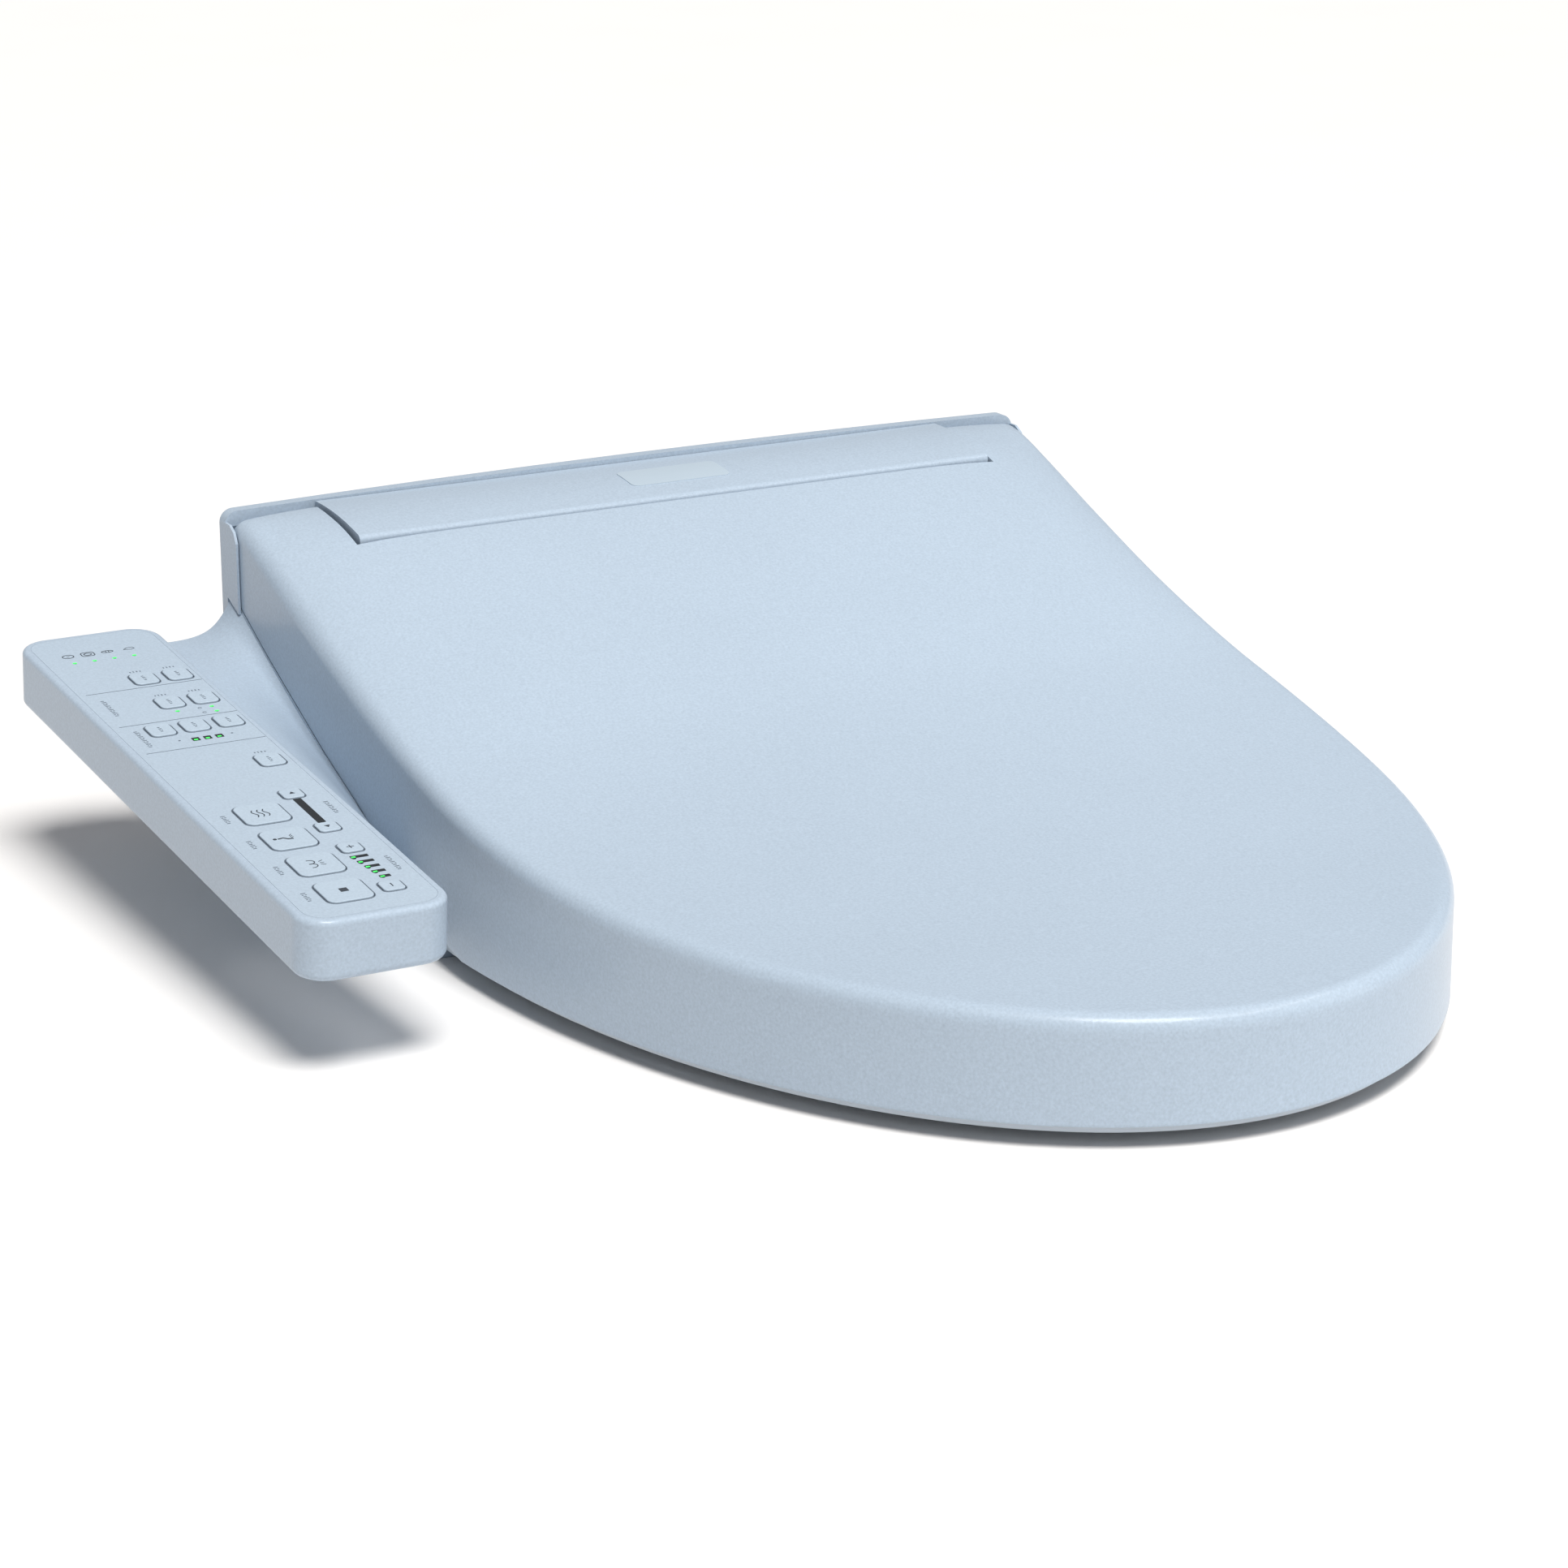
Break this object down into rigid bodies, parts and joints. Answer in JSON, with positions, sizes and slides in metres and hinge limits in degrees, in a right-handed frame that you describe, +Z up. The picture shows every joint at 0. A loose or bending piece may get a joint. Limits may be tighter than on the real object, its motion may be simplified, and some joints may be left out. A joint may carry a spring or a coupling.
{
  "type": "electric bidet seat",
  "caption": "Electric bidet seat with a closed curved lid, heated ring seat, rear wash unit with wand and dryer, base plate and a sloping push-button panel on one side.",
  "frame": {"origin": "midway between the two fixing bolts, on the plane of the bowl's rim", "axes": "+Z up, -Y towards the front of the seat, +X to the left of a seated user; the control panel is on -X"},
  "size_m": [0.4825, 0.5294, 0.1411],
  "materials": {
    "shell": "glossy white moulding",
    "shell_inner": "glossy white moulding",
    "seat": "glossy white moulding",
    "name_plate": "satin plate",
    "overlay": "printed film",
    "key": "satin keys",
    "lamp": "clear green lens",
    "rubber": "soft moulded rubber",
    "steel": "brushed",
    "plate_plastic": "grained grey moulding",
    "damper": "black moulding",
    "wand": "polished white",
    "gear": "natural acetal",
    "dark_plastic": "black moulding",
    "dryer_door": "light grey moulding",
    "heater": "finned",
    "heater_foil": "foil",
    "filter": "carbon filter",
    "tank": "natural moulding",
    "brass": "machined",
    "board": "green circuit board"
  },
  "bodies": {
    "base_plate": {"base_plate": "plate_plastic"},
    "main_unit": {"lower_case": "shell", "upper_case": "shell", "rear_cover": "shell", "case_screws": "steel", "top_cover": "shell", "blank_plate": "name_plate", "hinge_brackets": "plate_plastic", "hinge_pins": "steel", "hinge_dampers": "damper", "panel_arm": "shell", "panel_upper_shell": "shell", "panel_lower_shell": "shell", "panel_overlay": "overlay", "panel_lamps": "lamp", "panel_board": "board", "panel_switches": "dark_plastic", "wand_guide": "plate_plastic", "wand_motor": "steel", "dryer_housing": "dark_plastic", "dryer_heater": "heater", "deodoriser_case": "dark_plastic", "deodoriser_filter": "filter", "heater_tank": "tank", "inlet_valve": "dark_plastic", "inlet_fitting": "brass", "drain_plug": "plate_plastic", "cord_gland": "rubber", "main_board": "board"},
    "seat": {"seat_top": "seat", "seat_base": "seat", "seat_heater": "heater_foil", "seat_bumpers": "rubber", "seat_hinge_arms": "seat"},
    "lid": {"lid": "shell", "lid_hinge_bosses": "shell_inner", "lid_bumpers": "rubber"},
    "button_stop": {"button_stop": "key"},
    "button_rear_wash": {"button_rear_wash": "key"},
    "button_front_wash": {"button_front_wash": "key"},
    "button_dryer": {"button_dryer": "key"},
    "button_position_back": {"button_position_back": "key"},
    "button_position_forward": {"button_position_forward": "key"},
    "button_pressure_up": {"button_pressure_up": "key"},
    "button_pressure_down": {"button_pressure_down": "key"},
    "button_power": {"button_power": "key"},
    "button_energy_saver": {"button_energy_saver": "key"},
    "button_oscillate": {"button_oscillate": "key"},
    "button_pulsate": {"button_pulsate": "key"},
    "button_water_heat": {"button_water_heat": "key"},
    "button_seat_heat": {"button_seat_heat": "key"},
    "button_dryer_heat": {"button_dryer_heat": "key"},
    "button_wand_clean": {"button_wand_clean": "key"},
    "release_button": {"release_button": "shell"},
    "wand_tube": {"wand_tube": "wand"},
    "wand_nozzle": {"wand_nozzle": "wand"},
    "wand_pinion": {"wand_pinion": "gear"},
    "dryer_door": {"dryer_door": "dryer_door"},
    "dryer_impeller": {"dryer_impeller": "dark_plastic"},
    "deodoriser_fan": {"deodoriser_fan": "dark_plastic"}
  },
  "joints": [
    {"name": "unit_slide", "type": "slide", "parent": "base_plate", "child": "main_unit", "axis": [0, -1, 0], "range_m": [0, 0.04]},
    {"name": "seat_hinge", "type": "hinge", "parent": "main_unit", "child": "seat", "pos_m": [0, 0.035, 0.125], "axis": [1, 0, 0], "range_deg": [-95, 0]},
    {"name": "lid_hinge", "type": "hinge", "parent": "seat", "child": "lid", "pos_m": [0, 0.035, 0.125], "axis": [-1, 0, 0], "range_deg": [0, 105]},
    {"name": "button_stop_press", "type": "slide", "parent": "main_unit", "child": "button_stop", "axis": [0, 0.0901, -0.9959], "range_m": [0, 0.0006], "stiffness_N_per_m": 300, "springref_m": -0.002},
    {"name": "button_rear_wash_press", "type": "slide", "parent": "main_unit", "child": "button_rear_wash", "axis": [0, 0.0901, -0.9959], "range_m": [0, 0.0006], "stiffness_N_per_m": 300, "springref_m": -0.002},
    {"name": "button_front_wash_press", "type": "slide", "parent": "main_unit", "child": "button_front_wash", "axis": [0, 0.0901, -0.9959], "range_m": [0, 0.0006], "stiffness_N_per_m": 300, "springref_m": -0.002},
    {"name": "button_dryer_press", "type": "slide", "parent": "main_unit", "child": "button_dryer", "axis": [0, 0.0901, -0.9959], "range_m": [0, 0.0006], "stiffness_N_per_m": 300, "springref_m": -0.002},
    {"name": "button_position_back_press", "type": "slide", "parent": "main_unit", "child": "button_position_back", "axis": [0, 0.0901, -0.9959], "range_m": [0, 0.0006], "stiffness_N_per_m": 300, "springref_m": -0.002},
    {"name": "button_position_forward_press", "type": "slide", "parent": "main_unit", "child": "button_position_forward", "axis": [0, 0.0901, -0.9959], "range_m": [0, 0.0006], "stiffness_N_per_m": 300, "springref_m": -0.002},
    {"name": "button_pressure_up_press", "type": "slide", "parent": "main_unit", "child": "button_pressure_up", "axis": [0, 0.0901, -0.9959], "range_m": [0, 0.0006], "stiffness_N_per_m": 300, "springref_m": -0.002},
    {"name": "button_pressure_down_press", "type": "slide", "parent": "main_unit", "child": "button_pressure_down", "axis": [0, 0.0901, -0.9959], "range_m": [0, 0.0006], "stiffness_N_per_m": 300, "springref_m": -0.002},
    {"name": "button_power_press", "type": "slide", "parent": "main_unit", "child": "button_power", "axis": [0, 0.0901, -0.9959], "range_m": [0, 0.0006], "stiffness_N_per_m": 300, "springref_m": -0.002},
    {"name": "button_energy_saver_press", "type": "slide", "parent": "main_unit", "child": "button_energy_saver", "axis": [0, 0.0901, -0.9959], "range_m": [0, 0.0006], "stiffness_N_per_m": 300, "springref_m": -0.002},
    {"name": "button_oscillate_press", "type": "slide", "parent": "main_unit", "child": "button_oscillate", "axis": [0, 0.0901, -0.9959], "range_m": [0, 0.0006], "stiffness_N_per_m": 300, "springref_m": -0.002},
    {"name": "button_pulsate_press", "type": "slide", "parent": "main_unit", "child": "button_pulsate", "axis": [0, 0.0901, -0.9959], "range_m": [0, 0.0006], "stiffness_N_per_m": 300, "springref_m": -0.002},
    {"name": "button_water_heat_press", "type": "slide", "parent": "main_unit", "child": "button_water_heat", "axis": [0, 0.0901, -0.9959], "range_m": [0, 0.0006], "stiffness_N_per_m": 300, "springref_m": -0.002},
    {"name": "button_seat_heat_press", "type": "slide", "parent": "main_unit", "child": "button_seat_heat", "axis": [0, 0.0901, -0.9959], "range_m": [0, 0.0006], "stiffness_N_per_m": 300, "springref_m": -0.002},
    {"name": "button_dryer_heat_press", "type": "slide", "parent": "main_unit", "child": "button_dryer_heat", "axis": [0, 0.0901, -0.9959], "range_m": [0, 0.0006], "stiffness_N_per_m": 300, "springref_m": -0.002},
    {"name": "button_wand_clean_press", "type": "slide", "parent": "main_unit", "child": "button_wand_clean", "axis": [0, 0.0901, -0.9959], "range_m": [0, 0.0006], "stiffness_N_per_m": 300, "springref_m": -0.002},
    {"name": "release_press", "type": "slide", "parent": "main_unit", "child": "release_button", "axis": [-1, 0, 0], "range_m": [0, 0.003], "stiffness_N_per_m": 300, "springref_m": -0.003},
    {"name": "wand_tube_slide", "type": "slide", "parent": "main_unit", "child": "wand_tube", "axis": [0, -0.8192, -0.5736], "range_m": [0, 0.05]},
    {"name": "wand_nozzle_slide", "type": "slide", "parent": "wand_tube", "child": "wand_nozzle", "axis": [0, -0.8192, -0.5736], "range_m": [0, 0.05]},
    {"name": "wand_pinion_spin", "type": "hinge", "parent": "main_unit", "child": "wand_pinion", "pos_m": [0, -0.04374, 0.0254], "axis": [1, 0, 0], "range_deg": [0, 410]},
    {"name": "dryer_door_hinge", "type": "hinge", "parent": "main_unit", "child": "dryer_door", "pos_m": [-0.065, -0.0986, 0.0139], "axis": [-1, 0, 0], "range_deg": [0, 50]},
    {"name": "dryer_fan_spin", "type": "hinge", "parent": "main_unit", "child": "dryer_impeller", "pos_m": [-0.065, 0.008, 0.062], "axis": [1, 0, 0], "continuous": true},
    {"name": "deodoriser_fan_spin", "type": "hinge", "parent": "main_unit", "child": "deodoriser_fan", "pos_m": [0.112, 0.014, 0.05], "axis": [1, 0, 0], "continuous": true}
  ],
  "couplings": [
    {"joint": "wand_nozzle_slide", "follows": "wand_tube_slide", "ratio": 1},
    {"joint": "wand_pinion_spin", "follows": "wand_tube_slide", "rad_per_m": 142.86}
  ]
}
